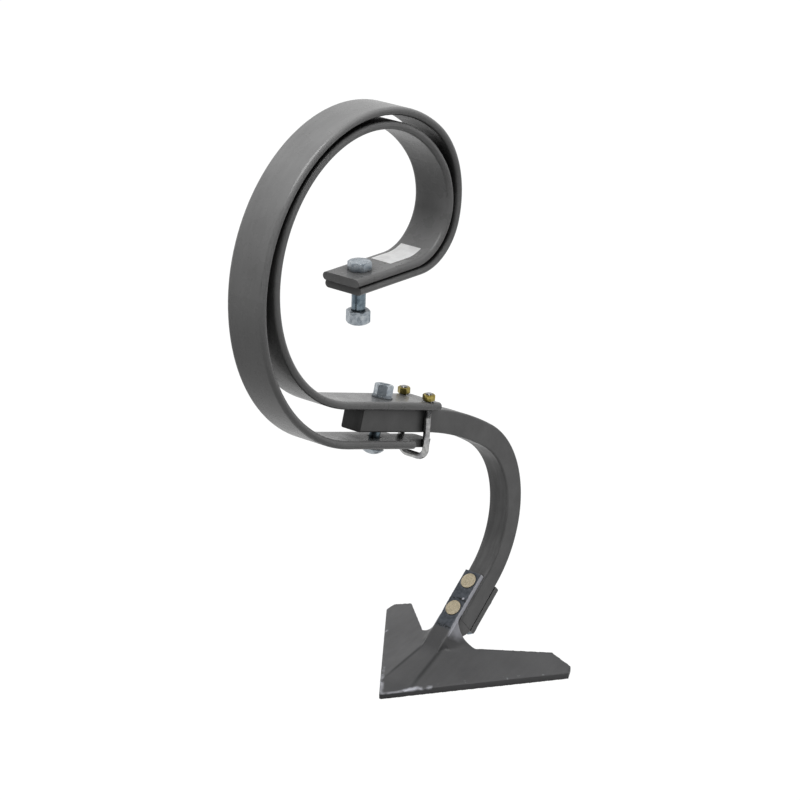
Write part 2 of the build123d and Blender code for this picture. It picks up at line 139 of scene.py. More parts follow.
def threadTree():
    # a rod along +Z from its tip at the origin: ridges wind round it up to the thread's end, the rest is plain
    tree = bpy.data.node_groups.new("rolledThread", "GeometryNodeTree")
    for name in ("Diameter", "Pitch", "Length", "Thread Length", "Chamfer"):
        tree.interface.new_socket(name, in_out="INPUT", socket_type="NodeSocketFloat")
    tree.interface.new_socket("Finish", in_out="INPUT", socket_type="NodeSocketMaterial")
    tree.interface.new_socket("Geometry", in_out="OUTPUT", socket_type="NodeSocketGeometry")
    add = partial(addNode, tree)
    given = add("NodeGroupInput", out=None).outputs
    radius = add("ShaderNodeMath", {0: given["Diameter"], 1: 0.5}, operation="MULTIPLY")
    turns = add("ShaderNodeMath", {0: given["Length"], 1: given["Pitch"]}, operation="DIVIDE")
    rings = add("ShaderNodeMath", {0: turns, 1: ridgeShape["ringsPerTurn"]}, operation="MULTIPLY")
    rod = add("GeometryNodeMeshCylinder", {"Vertices": ridgeShape["sides"], "Side Segments": rings,
                                           "Radius": radius, "Depth": given["Length"]})
    half = add("ShaderNodeMath", {0: given["Length"], 1: 0.5}, operation="MULTIPLY")
    lift = add("ShaderNodeCombineXYZ", {"Z": half})
    rod = add("GeometryNodeTransform", {"Geometry": rod, "Translation": lift})
    # how far round and how far up each point lies
    spot = add("ShaderNodeSeparateXYZ", {0: add("GeometryNodeInputPosition")}, out=None).outputs
    angle = add("ShaderNodeMath", {0: spot["Y"], 1: spot["X"]}, operation="ARCTAN2")
    turned = add("ShaderNodeMath", {0: angle, 1: 2 * math.pi}, operation="DIVIDE")
    climbed = add("ShaderNodeMath", {0: spot["Z"], 1: given["Pitch"]}, operation="DIVIDE")
    phase = add("ShaderNodeMath", {0: climbed, 1: turned}, operation="SUBTRACT")
    ridge = add("ShaderNodeMath", {0: phase, 1: 0.5}, operation="PINGPONG")
    groove = add("ShaderNodeMapRange", {"Value": ridge, "From Min": ridgeShape["crest"],
                                        "From Max": ridgeShape["root"], "To Max": ridgeShape["depthShare"]})
    depth = add("ShaderNodeMath", {0: groove, 1: given["Pitch"]}, operation="MULTIPLY")
    # the thread runs out over one pitch
    past = add("ShaderNodeMath", {0: given["Thread Length"], 1: given["Pitch"]}, operation="ADD")
    stays = add("ShaderNodeMapRange", {"Value": spot["Z"], "From Min": given["Thread Length"],
                                       "From Max": past, "To Min": 1.0, "To Max": 0.0})
    depth = add("ShaderNodeMath", {0: depth, 1: stays}, operation="MULTIPLY")
    threaded = add("ShaderNodeMath", {0: radius, 1: depth}, operation="SUBTRACT")
    # the tip is chamfered at 45 degrees
    tipRadius = add("ShaderNodeMath", {0: radius, 1: given["Chamfer"]}, operation="SUBTRACT")
    cone = add("ShaderNodeMath", {0: tipRadius, 1: spot["Z"]}, operation="ADD")
    reach = add("ShaderNodeMath", {0: threaded, 1: cone}, operation="MINIMUM")
    share = add("ShaderNodeMath", {0: reach, 1: radius}, operation="DIVIDE")
    x = add("ShaderNodeMath", {0: spot["X"], 1: share}, operation="MULTIPLY")
    y = add("ShaderNodeMath", {0: spot["Y"], 1: share}, operation="MULTIPLY")
    moved = add("ShaderNodeCombineXYZ", {"X": x, "Y": y, "Z": spot["Z"]})
    rod = add("GeometryNodeSetPosition", {"Geometry": rod, "Position": moved})
    rod = add("GeometryNodeRealizeInstances", {0: rod})
    rod = add("GeometryNodeSetMaterial", {"Geometry": rod, "Material": given["Finish"]})
    add("NodeGroupOutput", {0: rod}, out=None)
    return tree


def threadedRod(tree, finish, **sizes):
    # runs the thread tree once and gives back its plain mesh
    holder = newPiece("threadHolder", bpy.data.meshes.new("threadHolder"))
    run = holder.modifiers.new("thread", "NODES")
    run.node_group = tree
    for item in tree.interface.items_tree:
        if item.in_out == "INPUT":
            run[item.identifier] = finish if item.name == "Finish" else mm(sizes[item.name])
    made = holder.evaluated_get(bpy.context.evaluated_depsgraph_get())
    mesh = bpy.data.meshes.new_from_object(made)
    holder.modifiers.remove(run)
    bpy.data.objects.remove(holder)
    return mesh


# each bolt: its CAD node, which way its tip points, and in millimetres how much of its end is remade, with
# what thread
boltPlans = {
    "mountBolt": dict(node="mount_bolt", slot="blue_zinc", lean="seat", tip=-1,
                      diameter=20, pitch=2.5, shank=79.9, thread=20, chamfer=1.5),
    "clampBolt": dict(node="clamp_bolt", slot="blue_zinc", lean="clamp", tip=1,
                      diameter=16, pitch=2.0, shank=84.5, thread=38, chamfer=1.5),
    "uBolt": dict(node="u_bolt", slot="bright_zinc", lean="uBolt", tip=1,
                  diameter=10, pitch=1.5, shank=44, thread=36, chamfer=1.0),
}
for end in ("upper", "lower"):
    boltPlans[end + "PlowBolt"] = dict(node="plow_bolt_" + end, slot="plow_zinc", lean="foot", tip=-1,
                                       diameter=12, pitch=1.75, shank=62, thread=30, chamfer=1.5)
rodOverlap = 0.5  # how far a new shank runs into what is left of its bolt


def rolledBolt(name, plan, tree, finish, rodFinish):
    # the CAD bolt keeps its head; its end is cut off and a shank with a real thread is set in its place
    outward = direction(leanings[plan["lean"]]) * plan["tip"]
    shape = mergedCopy(plan["node"])
    farthest = max(v.co.dot(outward) for v in shape.verts)
    tipRing = [v.co.copy() for v in shape.verts if v.co.dot(outward) > farthest - mm(0.01)]
    cut = outward * (farthest - mm(plan["shank"]))
    bmesh.ops.bisect_plane(shape, geom=shape.verts[:] + shape.edges[:] + shape.faces[:], dist=mm(0.001),
                           plane_co=cut, plane_no=outward, clear_outer=True)
    rims = [e for e in shape.edges if e.is_boundary]
    bmesh.ops.holes_fill(shape, edges=rims)
    rod = threadedRod(tree, rodFinish, **{
        "Diameter": plan["diameter"], "Pitch": plan["pitch"], "Length": plan["shank"] + rodOverlap,
        "Thread Length": plan["thread"], "Chamfer": plan["chamfer"]})
    turn = (-outward).to_track_quat("Z", "Y").to_matrix().to_4x4()
    # a U-bolt has a tip on each side of the middle plane, a bolt only one in it
    sides = (-1, 1) if plan["node"] == "u_bolt" else (0,)
    kept = set(shape.faces)
    for side in sides:
        ring = [p for p in tipRing if p.y * side >= 0]
        tip = sum(ring, Vector()) / len(ring)
        placed = rod.copy()
        placed.transform(Matrix.Translation(tip) @ turn)
        shape.from_mesh(placed)
    for face in shape.faces:
        face.material_index = 0 if face in kept else 1
    mesh = meshFrom(shape, name)
    # the stored normals belong to the loose triangles, not to the merged mesh
    if "custom_normal" in mesh.attributes:
        mesh.attributes.remove(mesh.attributes["custom_normal"])
    mesh.materials.append(finish)
    mesh.materials.append(rodFinish)
    mesh.shade_smooth()
    mesh.set_sharp_from_angle(angle=sharpAngle)
    piece = newPiece(name, mesh)
    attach(piece, "root")
    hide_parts(plan["node"])


def noiseMask(tree, place, size, low, high, stretch=(1, 1, 1), detail=4.0, rough=0.55):
    # 0 to 1 mask from noise with features of a real size in millimetres, cut between two levels
    moved = addNode(tree, "ShaderNodeMapping", {"Vector": place, "Scale": stretch})
    noise = addNode(tree, "ShaderNodeTexNoise", {"Vector": moved, "Scale": perMm(size), "Detail": detail,
                                                 "Roughness": rough})
    return addNode(tree, "ShaderNodeMapRange", {"Value": noise, "From Min": low, "From Max": high})


def edgeMask(tree, radius, low, high):
    # 1 along edges and 0 on faces: how far a rounded edge's normal turns from the flat one
    rounded = addNode(tree, "ShaderNodeBevel", {"Radius": mm(radius)}, samples=softSamples)
    flat = addNode(tree, "ShaderNodeNewGeometry", out=1)
    along = addNode(tree, "ShaderNodeVectorMath", {0: rounded, 1: flat}, out=1, operation="DOT_PRODUCT")
    return addNode(tree, "ShaderNodeMapRange", {"Value": along, "From Min": high, "From Max": low})


def paintedGapShade(tree, reach, darkest):
    # painted shade: 1 in the open, down to the darkest share where other surfaces stand closer than this many
    # millimetres
    seen = addNode(tree, "ShaderNodeAmbientOcclusion", {1: mm(reach)}, 1, samples=softSamples)
    seen = addNode(tree, "ShaderNodeMath", {0: seen, 1: 1.6}, operation="POWER")
    return addNode(tree, "ShaderNodeMapRange", {"Value": seen, "From Min": 0.02, "From Max": 0.94,
                                                "To Min": darkest})


def newMaterial(name):
    material = bpy.data.materials.new(name)
    tree = emptyTree(material)
    shader = addNode(tree, "ShaderNodeBsdfPrincipled", out=None)
    addNode(tree, "ShaderNodeOutputMaterial", {"Surface": shader.outputs["BSDF"]}, out=None)
    return material, tree, shader, addNode(tree, "ShaderNodeTexCoord", out=3)


# Hot-rolled spring bar, sprayed with one coat of grey enamel: it levels well, so it is nearly glossy,
# with faint clouds, rolling streaks that telegraph through, and a thin rubbed coat on the edges
leafPaintLook = dict(
    light="#797979", dark="#6f6f6f", thin="#929292", dust="#8b8a86",
    cloudMm=90, streakMm=8, streakShare=0.10, peelMm=2.6, peelDepth=0.03, pitMm=16, pitDepth=0.012,
    roughness=0.28, roughSpread=0.08, edgeMm=1.6, edgeWear=0.45, gapMm=22, gapShade=0.03, gloss=0.30)

# The square bar is rolled with a coarser scale, so the same enamel lies darker and duller on it
shankPaintLook = dict(
    light="#626262", dark="#575757", thin="#a2a2a2", dust="#83837d",
    cloudMm=70, streakMm=6, streakShare=0.14, peelMm=2.2, peelDepth=0.05, pitMm=9, pitDepth=0.05,
    roughness=0.38, roughSpread=0.10, edgeMm=1.4, edgeWear=0.40, gapMm=20, gapShade=0.45, gloss=0.42)

# The share is pressed from boron steel plate at red heat; its scale leaves the coat duller still
sharePaintLook = dict(
    light="#555556", dark="#4c4c4d", thin="#86868a", dust="#6f6f6a",
    cloudMm=60, streakMm=7, streakShare=0.03, peelMm=2.0, peelDepth=0.05, pitMm=8, pitDepth=0.05,
    roughness=0.42, roughSpread=0.10, edgeMm=1.2, edgeWear=0.40, gapMm=9, gapShade=0.55, gloss=0.40)

# What the three coats have in common: where each noise is cut, and sizes in millimetres
enamelCoat = dict(
    cloudCut=(0.32, 0.68), streakCut=(0.42, 0.66), drawnOut=(0.12, 1, 0.12), speckMm=3.0, speckCut=(0.66, 0.74),
    speckShare=0.30, edgeCut=(0.90, 0.995), patchMm=16, patchCut=(0.40, 0.62), dullMm=24, dullCut=(0.3, 0.7),
    pitCut=(0.30, 0.55), arrisMm=0.8)


def enamel(name, look):
    material, tree, shader, place = newMaterial(name)
    add = partial(addNode, tree)
    coat = enamelCoat
    clouds = noiseMask(tree, place, look["cloudMm"], *coat["cloudCut"])
    paint = add("ShaderNodeMix", {0: clouds, 6: linear(look["dark"]), 7: linear(look["light"])}, 2,
                data_type="RGBA")
    streaks = noiseMask(tree, place, look["streakMm"], *coat["streakCut"], stretch=coat["drawnOut"])
    faint = add("ShaderNodeMath", {0: streaks, 1: look["streakShare"]}, operation="MULTIPLY")
    paint = add("ShaderNodeMix", {0: faint, 6: paint, 7: linear(look["thin"])}, 2, data_type="RGBA")
    # dust and overspray settle as pale specks
    specks = noiseMask(tree, place, coat["speckMm"], *coat["speckCut"], detail=6.0)
    faint = add("ShaderNodeMath", {0: specks, 1: coat["speckShare"]}, operation="MULTIPLY")
    paint = add("ShaderNodeMix", {0: faint, 6: paint, 7: linear(look["dust"])}, 2, data_type="RGBA")
    # the coat is thin along the edges and rubbed in patches
    rubbed = edgeMask(tree, look["edgeMm"], *coat["edgeCut"])
    for share in (noiseMask(tree, place, coat["patchMm"], *coat["patchCut"]), look["edgeWear"]):
        rubbed = add("ShaderNodeMath", {0: rubbed, 1: share}, operation="MULTIPLY")
    paint = add("ShaderNodeMix", {0: rubbed, 6: paint, 7: linear(look["thin"])}, 2, data_type="RGBA")
    dull = noiseMask(tree, place, coat["dullMm"], *coat["dullCut"])
    rough = add("ShaderNodeMapRange", {"Value": dull, "To Min": look["roughness"] - look["roughSpread"] / 2,
                                       "To Max": look["roughness"] + look["roughSpread"] / 2})
    peel = add("ShaderNodeTexNoise", {"Vector": place, "Scale": perMm(look["peelMm"]), "Detail": 2.0})
    pits = noiseMask(tree, place, look["pitMm"], *coat["pitCut"], detail=5.0)
    rounded = add("ShaderNodeBevel", {"Radius": mm(coat["arrisMm"])}, samples=softSamples)
    normal = add("ShaderNodeBump", {"Height": pits, "Distance": mm(look["pitDepth"]), "Normal": rounded})
    normal = add("ShaderNodeBump", {"Height": peel, "Distance": mm(look["peelDepth"]), "Normal": normal})
    # painted shade in the narrow gaps, where shade falls: the coat is darkened there and its gloss dimmed
    free = paintedGapShade(tree, look["gapMm"], look["gapShade"])
    paint = add("ShaderNodeVectorMath", {0: paint, 3: free}, operation="SCALE")
    gloss = add("ShaderNodeMath", {0: free, 1: look["gloss"]}, operation="MULTIPLY")
    tree.links.new(paint, shader.inputs["Base Color"])
    tree.links.new(gloss, shader.inputs["Specular IOR Level"])
    tree.links.new(rough, shader.inputs["Roughness"])
    tree.links.new(normal, shader.inputs["Normal"])
    return material, tree, shader, place, paint, rough


# Marks on the share, in millimetres: down from the stem's top, back from the nose, or a place on one side.
# A pair says where a mark begins to show and where it is full. The bend lines between spine and wings are
# given by their half width at the nose and its loss per millimetre
shareMarks = dict(
    raggedMm=9, raggedDeep=5, frontHalf=17, frontFacing=(0.80, 0.93), mottleMm=5,
    scratchFromTop=49, creaseFromTop=96, creaseSoft=1.5, gougeMm=4, gougeUp=2.5, gougeReach=2.6, gougeCore=0.7,
    bendHalf=30.26, bendNarrows=0.1141, bendReach=5.5, bendFrom=(26, 66), bendTo=(132, 117), bendShare=0.8,
    stainFade=(46, 20), stainShare=0.42,
    stripFromTop=104, stripSoft=5.0, stripHalf=17.5, stripFacing=(0.40, 0.75),
    patchAt=(203.5, 18.5, -595), patchFade=(23, 2), patchShare=0.7, patchFacing=(0.93, 0.85),
    pip=(46, -8), pipFade=(2.4, 1.0),
    halfAngle=37.3, edgeWaveMm=26, edgeWaveDeep=9, edgeOver=(1.6, -2.6), edgeBand=10, edgeSoft=2.0,
    noseWear=(95, 20), noseShare=0.33, chipMm=12, chipCut=(0.63, 0.86))
# the rubbed colour also paints the highlight on the stem's sides and the web; the gouge colour also paints the
# shade along the wings' bend lines
bareSteelLook = dict(scaled="#3f444a", scaledLight="#5b6068", rubbed="#c4c5cd", gouge="#1d1e20",
                     roughness=0.36, metallic=0.15)


def shareGround(tree, place):
    # what the marks are placed by: where a point lies on the share, in metres, and which way it faces
    add = partial(addNode, tree)
    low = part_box("sweep")[0]
    outOfFoot = direction(leanings["foot"])
    upStem = Vector((outOfFoot.z, 0, -outOfFoot.x))
    spot = add("ShaderNodeSeparateXYZ", {0: place}, None).outputs
    normal = add("ShaderNodeNewGeometry", out=1)
    across = add("ShaderNodeSeparateXYZ", {0: normal}, None).outputs["Y"]
    upAlong = add("ShaderNodeVectorMath", {0: place, 1: upStem}, 1, operation="DOT_PRODUCT")
    top = max(v.co.dot(upStem) for v in nodes["sweep"].data.vertices)
    wobble = noiseMask(tree, place, shareMarks["raggedMm"], 0.3, 0.7, detail=5.0)
    ragged = add("ShaderNodeMath", {0: wobble, 1: mm(shareMarks["raggedDeep"]), 2: upAlong},
                 operation="MULTIPLY_ADD")
    ground = dict(
        place=place, x=spot["X"], y=spot["Y"], z=spot["Z"], lowest=low.z, top=top, upAlong=upAlong,
        wobble=wobble, ragged=ragged,
        aside=add("ShaderNodeMath", {0: spot["Y"]}, operation="ABSOLUTE"),
        sideways=add("ShaderNodeMath", {0: across}, operation="ABSOLUTE"),
        facing=add("ShaderNodeVectorMath", {0: normal, 1: outOfFoot}, 1, operation="DOT_PRODUCT"),
        fromNose=add("ShaderNodeMath", {0: spot["X"], 1: low.x}, operation="SUBTRACT"))
    # 1 above a ragged line across the stem and 0 below it
    for mark in ("crease", "strip"):
        line, soft = top - mm(shareMarks[mark + "FromTop"]), mm(shareMarks[mark + "Soft"])
        ends = span((line - soft, line + soft))
        ground[mark + "Above"] = add("ShaderNodeMapRange", {"Value": ragged, **ends})
    return ground


def span(ends):
    # what a mask is 0 at and what it is 1 at, for a Map Range node
    return {"From Min": ends[0], "From Max": ends[1]}


def spanMm(ends):
    return span([mm(end) for end in ends])


def nearLine(tree, value, line, reach, core, **settings):
    # 1 within the core of a line and 0 past its reach, both in millimetres
    off = addNode(tree, "ShaderNodeMath", {0: value, 1: line}, operation="SUBTRACT")
    off = addNode(tree, "ShaderNodeMath", {0: off}, operation="ABSOLUTE")
    return addNode(tree, "ShaderNodeMapRange", {"Value": off, **spanMm((reach, core))}, **settings)


def gougedStem(tree, ground, front):
    # a gouge between the bolt heads, and the sharp line where the stem bends
    add = partial(addNode, tree)
    broken = noiseMask(tree, ground["place"], shareMarks["gougeMm"], 0.36, 0.52, detail=4.0)
    broken = add("ShaderNodeMath", {0: broken, 1: front}, operation="MULTIPLY")
    lines = [ground["top"] - mm(shareMarks[mark] - shareMarks["gougeUp"])
             for mark in ("scratchFromTop", "creaseFromTop")]
    gouges = [nearLine(tree, ground["ragged"], line, shareMarks["gougeReach"], shareMarks["gougeCore"])
              for line in lines]
    gouge = add("ShaderNodeMath", {0: gouges[0], 1: gouges[1]}, operation="MAXIMUM")
    return add("ShaderNodeMath", {0: gouge, 1: broken}, operation="MULTIPLY")


def paintedBendShade(tree, ground):
    # painted shade: a dark line along the bend lines of the wings, where shade falls in the crease, fading out
    # at both their ends
    add = partial(addNode, tree)
    fromNose = ground["fromNose"]
    line = add("ShaderNodeMath", {0: fromNose, 1: -shareMarks["bendNarrows"], 2: mm(shareMarks["bendHalf"])},
               operation="MULTIPLY_ADD")
    bend = nearLine(tree, ground["aside"], line, shareMarks["bendReach"], 0, interpolation_type="SMOOTHSTEP")
    for end in ("bendFrom", "bendTo"):
        shows = add("ShaderNodeMapRange", {"Value": fromNose, **spanMm(shareMarks[end])})
        bend = add("ShaderNodeMath", {0: bend, 1: shows}, operation="MULTIPLY")
    return add("ShaderNodeMath", {0: bend, 1: shareMarks["bendShare"]}, operation="MULTIPLY")


def shearedSidesWithHighlight(tree, ground):
    # the stem's sides are sheared bare steel, set pale also as painted highlight for the light they catch
    add = partial(addNode, tree)
    near = add("ShaderNodeMath", {0: ground["aside"], 1: mm(shareMarks["stripHalf"])}, operation="LESS_THAN")
    sheared = add("ShaderNodeMapRange", {"Value": ground["sideways"], **span(shareMarks["stripFacing"])})
    for share in (ground["stripAbove"], near):
        sheared = add("ShaderNodeMath", {0: sheared, 1: share}, operation="MULTIPLY")
    return sheared


def paintedWebHighlight(tree, ground):
    # painted highlight: a pale patch fades from the stem's sides into each wing, where the dished web catches
    # the light
    add = partial(addNode, tree)
    folded = add("ShaderNodeCombineXYZ", {"X": ground["x"], "Y": ground["aside"], "Z": ground["z"]})
    middle = [mm(c) for c in shareMarks["patchAt"]]
    far = add("ShaderNodeVectorMath", {0: folded, 1: middle}, 1, operation="DISTANCE")
    far = add("ShaderNodeMath", {0: ground["wobble"], 1: -mm(shareMarks["raggedDeep"]), 2: far},
              operation="MULTIPLY_ADD")
    patch = add("ShaderNodeMapRange", {"Value": far, **spanMm(shareMarks["patchFade"]),
                                       "To Max": shareMarks["patchShare"]}, interpolation_type="SMOOTHSTEP")
    onWing = add("ShaderNodeMapRange", {"Value": ground["facing"], **span(shareMarks["patchFacing"])})
    return add("ShaderNodeMath", {0: patch, 1: onWing}, operation="MULTIPLY")


def rubbedArris(tree, ground):
    # soil and handling rub the coat off the arris above the soil edge, most of all at the nose
    add = partial(addNode, tree)
    half = math.radians(shareMarks["halfAngle"])
    inward = add("ShaderNodeMath", {0: ground["aside"], 1: math.cos(half)}, operation="MULTIPLY")
    inward = add("ShaderNodeMath", {0: ground["fromNose"], 1: math.sin(half), 2: inward},
                 operation="MULTIPLY_ADD")
    inward = add("ShaderNodeMath", {0: ground["aside"], 1: -2 * math.cos(half), 2: inward},
                 operation="MULTIPLY_ADD")
    wave = add("ShaderNodeTexNoise", {"Vector": ground["place"], "Scale": perMm(shareMarks["edgeWaveMm"]),
                                      "Detail": 3.0})
    inward = add("ShaderNodeMath", {0: wave, 1: -mm(shareMarks["edgeWaveDeep"]), 2: inward},
                 operation="MULTIPLY_ADD")
    over = add("ShaderNodeMapRange", {"Value": inward, **spanMm(shareMarks["edgeOver"])})
    arris = ground["lowest"] + mm(shareMarks["edgeBand"])
    ends = span((arris - mm(shareMarks["edgeSoft"]), arris))
    under = add("ShaderNodeMapRange", {"Value": ground["z"], **ends})
    line = add("ShaderNodeMath", {0: over, 1: under}, operation="MULTIPLY")
    nose = add("ShaderNodeMapRange", {"Value": ground["fromNose"], **spanMm(shareMarks["noseWear"]),
                                      "To Max": shareMarks["noseShare"]})
    chips = add("ShaderNodeTexNoise", {"Vector": ground["place"], "Scale": perMm(shareMarks["chipMm"]),
                                       "Detail": 5.0})
    chipped = add("ShaderNodeMath", {0: chips, 1: nose}, operation="ADD")
    chipped = add("ShaderNodeMapRange", {"Value": chipped, **span(shareMarks["chipCut"])})
    return add("ShaderNodeMath", {0: line, 1: chipped}, operation="MULTIPLY")


def brightPip(tree, ground, front):
    # a small bright spot beside the gouge
    add = partial(addNode, tree)
    down, aside = shareMarks["pip"]
    flat = add("ShaderNodeCombineXYZ", {"X": ground["upAlong"], "Y": ground["y"]})
    off = add("ShaderNodeVectorMath", {0: flat, 1: (ground["top"] - mm(down), mm(aside), 0)}, 1,
              operation="DISTANCE")
    pip = add("ShaderNodeMapRange", {"Value": off, **spanMm(shareMarks["pipFade"])})
    return add("ShaderNodeMath", {0: pip, 1: front}, operation="MULTIPLY")


def shareEnamel():
    material, tree, shader, place, paint, rough = enamel("greyEnamelOnPressedShare", sharePaintLook)
    add = partial(addNode, tree)
    ground = shareGround(tree, place)
    # the stem's front was masked when the coat was sprayed: dark blued scale
    onStem = add("ShaderNodeMath", {0: ground["aside"], 1: mm(shareMarks["frontHalf"])}, operation="LESS_THAN")
    front = add("ShaderNodeMapRange", {"Value": ground["facing"], **span(shareMarks["frontFacing"])})
    front = add("ShaderNodeMath", {0: front, 1: onStem}, operation="MULTIPLY")
    masked = add("ShaderNodeMath", {0: front, 1: ground["creaseAbove"]}, operation="MULTIPLY")
    mottle = noiseMask(tree, place, shareMarks["mottleMm"], 0.35, 0.68, detail=6.0)
    scaled = add("ShaderNodeMix", {0: mottle, 6: linear(bareSteelLook["scaled"]),
                                   7: linear(bareSteelLook["scaledLight"])}, 2, data_type="RGBA")
    colour = add("ShaderNodeMix", {0: masked, 6: paint, 7: scaled}, 2, data_type="RGBA")
    # dark marks: the nose stained darker than the wings, the gouges, and painted shade along the wings' bend
    # lines
    dark = add("ShaderNodeMapRange", {"Value": ground["fromNose"], **spanMm(shareMarks["stainFade"]),
                                      "To Max": shareMarks["stainShare"]})
    for mark in (paintedBendShade(tree, ground), gougedStem(tree, ground, front)):
        dark = add("ShaderNodeMath", {0: dark, 1: mark}, operation="MAXIMUM")
    colour = add("ShaderNodeMix", {0: dark, 6: colour, 7: linear(bareSteelLook["gouge"])}, 2, data_type="RGBA")
    # bright marks: where the coat is gone, and painted highlight on the stem's sides and the web
    bright = shearedSidesWithHighlight(tree, ground)
    for mark in (paintedWebHighlight(tree, ground), brightPip(tree, ground, front), rubbedArris(tree, ground)):
        bright = add("ShaderNodeMath", {0: bright, 1: mark}, operation="MAXIMUM")
    colour = add("ShaderNodeMix", {0: bright, 6: colour, 7: linear(bareSteelLook["rubbed"])}, 2,
                 data_type="RGBA")
    bare = add("ShaderNodeMath", {0: bright, 1: masked}, operation="MAXIMUM")
    metallic = add("ShaderNodeMapRange", {"Value": bare, "To Max": bareSteelLook["metallic"]})
    rough = add("ShaderNodeMix", {0: bare, 2: rough, 3: bareSteelLook["roughness"]})
    tree.links.new(colour, shader.inputs["Base Color"])
    tree.links.new(metallic, shader.inputs["Metallic"])
    tree.links.new(rough, shader.inputs["Roughness"])
    return material


# Forged or rolled steel under zinc: bright metal, with soft mottling from the passivation film and the forging
platedLooks = {
    # mounting and clamping bolts, nuts and washers: a thin cool film over pale zinc
    "bluePassivatedZinc": dict(light="#d6dde2", dark="#99a4ad", tint="#aeb8c2", roughness=0.27, mottleMm=6,
                               metallic=0.56),
    # their shanks and the nuts behind the foot: the same zinc set darker and blue-green, as painted shade and
    # painted dark reflection where they sit in gaps and behind the foot
    "paintedShadeBlueZinc": dict(light="#8b9aa3", dark="#4b5963", tint="#6d7c88", roughness=0.24, mottleMm=9,
                               metallic=0.92),
    # the U-bolt: drawn round bar, so smooth that it mirrors the studio
    "brightZinc": dict(light="#c4c4c1", dark="#858585", tint="#a6a6aa", roughness=0.18, mottleMm=7,
                       metallic=0.92),
    # the U-bolt's nuts: a yellow chromate film that shifts to olive
    "yellowChromatedZinc": dict(light="#c2af60", dark="#75682c", tint="#9d955c", roughness=0.24, mottleMm=5,
                                metallic=0.84),
    # plow bolts: forged and tumbled before plating, so dull and warm
    "dullZinc": dict(light="#d8cdb5", dark="#b3a88f", tint="#cbbfa5", roughness=0.55, mottleMm=2.5,
                     metallic=0.9),
}
# the plating's grain is finer than a tenth of a millimetre, and is drawn coarser so that it shows
platingCoat = dict(mottleCut=(0.35, 0.65), filmCut=(0.40, 0.60), filmShare=0.5, filmWider=2.5, duller=0.10,
                   brighter=0.04, grainMm=1.4, grainDeep=0.04, arrisMm=0.5, gapMm=8, gapShade=0.40)


def plated(name):
    look, coat = platedLooks[name], platingCoat
    material, tree, shader, place = newMaterial(name + "OnSteel")
    add = partial(addNode, tree)
    mottle = noiseMask(tree, place, look["mottleMm"], *coat["mottleCut"], detail=5.0)
    colour = add("ShaderNodeMix", {0: mottle, 6: linear(look["dark"]), 7: linear(look["light"])}, 2,
                 data_type="RGBA")
    film = noiseMask(tree, place, look["mottleMm"] * coat["filmWider"], *coat["filmCut"])
    film = add("ShaderNodeMath", {0: film, 1: coat["filmShare"]}, operation="MULTIPLY")
    colour = add("ShaderNodeMix", {0: film, 6: colour, 7: linear(look["tint"])}, 2, data_type="RGBA")
    rough = add("ShaderNodeMapRange", {"Value": mottle, "To Min": look["roughness"] + coat["duller"],
                                       "To Max": look["roughness"] - coat["brighter"]})
    grain = add("ShaderNodeTexNoise", {"Vector": place, "Scale": perMm(coat["grainMm"]), "Detail": 3.0})
    rounded = add("ShaderNodeBevel", {"Radius": mm(coat["arrisMm"])}, samples=softSamples)
    normal = add("ShaderNodeBump", {"Height": grain, "Distance": mm(coat["grainDeep"]), "Normal": rounded})
    # painted shade in the narrow gaps, where shade falls: the zinc is darkened there
    free = paintedGapShade(tree, coat["gapMm"], coat["gapShade"])
    colour = add("ShaderNodeVectorMath", {0: colour, 3: free}, operation="SCALE")
    tree.links.new(colour, shader.inputs["Base Color"])
    tree.links.new(rough, shader.inputs["Roughness"])
    tree.links.new(normal, shader.inputs["Normal"])
    shader.inputs["Metallic"].default_value = look["metallic"]
    return material


# Coated paper: matt and white, greyed a little where it was rubbed down. Its fibres are finer than can show,
# and are drawn coarser
labelLook = dict(clean="#f8f8f8", rubbed="#e4e4e4", smudgeMm=14, smudgeCut=(0.40, 0.72), fibreMm=0.9,
                 fibreDeep=0.02, roughness=0.62)


def labelPaper():
    material, tree, shader, place = newMaterial("whiteCoatedPaper")
    add = partial(addNode, tree)
    smudge = noiseMask(tree, place, labelLook["smudgeMm"], *labelLook["smudgeCut"])
    colour = add("ShaderNodeMix", {0: smudge, 6: linear(labelLook["clean"]), 7: linear(labelLook["rubbed"])}, 2,
                 data_type="RGBA")
    fibre = add("ShaderNodeTexNoise", {"Vector": place, "Scale": perMm(labelLook["fibreMm"])})
    normal = add("ShaderNodeBump", {"Height": fibre, "Distance": mm(labelLook["fibreDeep"])})
    tree.links.new(colour, shader.inputs["Base Color"])
    tree.links.new(normal, shader.inputs["Normal"])
    shader.inputs["Roughness"].default_value = labelLook["roughness"]
    return material


def give(material, *names):
    for name in names:
        nodes[name].data.materials.clear()
        nodes[name].data.materials.append(material)


blueZinc = plated("bluePassivatedZinc")
brightZinc = plated("brightZinc")
dullZinc = plated("dullZinc")
paintedShadeZinc = plated("paintedShadeBlueZinc")
give(enamel("greyEnamelOnSpringBar", leafPaintLook)[0], "outer_leaf", "inner_leaf")
give(enamel("greyEnamelOnSquareBar", shankPaintLook)[0], "shank", "foot_backing_plate")
give(blueZinc, "mount_locknut", "clamp_washer", "clamp_nut", "plow_washer_upper", "plow_washer_lower")
give(plated("yellowChromatedZinc"), "u_bolt_nut_near", "u_bolt_nut_far")
# the nuts behind the foot take the zinc with painted shade
give(paintedShadeZinc, "plow_nut_upper", "plow_nut_lower")
give(labelPaper(), "label")
print("finishes given")


